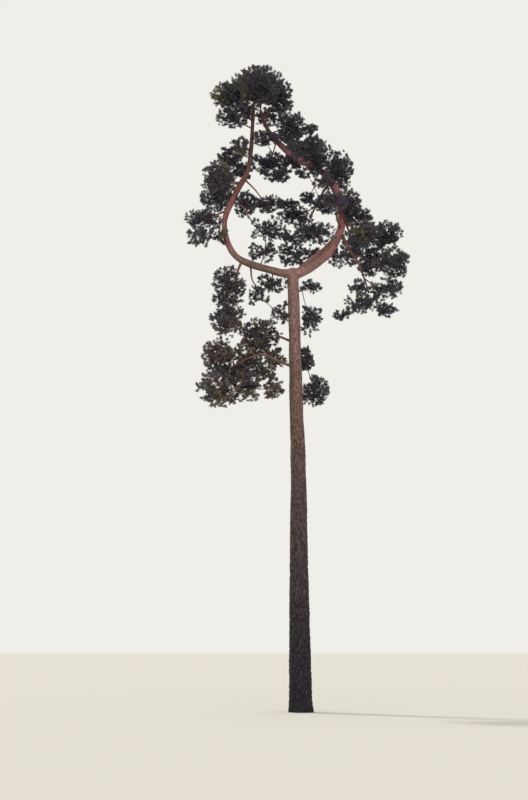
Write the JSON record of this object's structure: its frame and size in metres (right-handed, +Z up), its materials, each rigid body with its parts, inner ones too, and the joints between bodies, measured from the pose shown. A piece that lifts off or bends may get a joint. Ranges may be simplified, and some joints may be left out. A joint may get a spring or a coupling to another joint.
{
  "type": "pine tree",
  "caption": "Tall mature pine with a bare leaning trunk that forks high up into two bowed limbs, and separate masses of needles on short boughs.",
  "frame": {"origin": "middle of the flat cut under the trunk, at ground level", "axes": "+Z up; +X to the right along the face of the ring that the two limbs make, as seen from the front; +Y away from the front"},
  "size_m": [6.6438, 3.9644, 19.1282],
  "materials": {
    "trunk_bark": "dark plated bark, split by deep fissures",
    "limb_bark": "thin flaking red-brown bark",
    "needles": "dark green needle sprays on thin twigs"
  },
  "bodies": {
    "root": {"bough_front_right": "limb_bark", "bough_left_back": "limb_bark", "bough_left_drop": "limb_bark", "bough_left_reach": "limb_bark", "bough_low_arch": "limb_bark", "bough_low_left": "limb_bark", "bough_right_back": "limb_bark", "bough_right_drop": "limb_bark", "bough_right_reach": "limb_bark", "bough_ring_left": "limb_bark", "bough_ring_right": "limb_bark", "bough_ring_thin": "limb_bark", "bough_under_fork": "limb_bark", "foliage_back_left": "needles", "foliage_back_right": "needles", "foliage_cap_back": "needles", "foliage_cap_front": "needles", "foliage_cap_left": "needles", "foliage_cap_right": "needles", "foliage_drop_left_high": "needles", "foliage_drop_left_low": "needles", "foliage_drop_right_high": "needles", "foliage_drop_right_inner": "needles", "foliage_drop_right_low": "needles", "foliage_flank_left": "needles", "foliage_flank_right": "needles", "foliage_front_right": "needles", "foliage_high_left": "needles", "foliage_low_left_high": "needles", "foliage_low_left_low": "needles", "foliage_low_left_mid": "needles", "foliage_reach_left": "needles", "foliage_reach_right_high": "needles", "foliage_reach_right_mid": "needles", "foliage_ring_band": "needles", "foliage_ring_floor": "needles", "foliage_ring_left_low": "needles", "foliage_ring_middle": "needles", "foliage_ring_right_high": "needles", "foliage_ring_right_low": "needles", "foliage_ring_top": "needles", "foliage_shoulder_back": "needles", "foliage_shoulder_front": "needles", "foliage_shoulder_high": "needles", "foliage_shoulder_left": "needles", "foliage_shoulder_low": "needles", "foliage_skirt_left": "needles", "foliage_skirt_right": "needles", "foliage_trunk_tuft_high": "needles", "foliage_trunk_tuft_low": "needles", "foliage_under_fork": "needles", "foliage_under_fork_low": "needles", "limb_inner": "limb_bark", "limb_left_high": "limb_bark", "limb_left_low": "limb_bark", "limb_right_high": "limb_bark", "limb_right_low": "limb_bark", "limb_right_mid": "limb_bark", "trunk": "trunk_bark"}
  },
  "joints": []
}
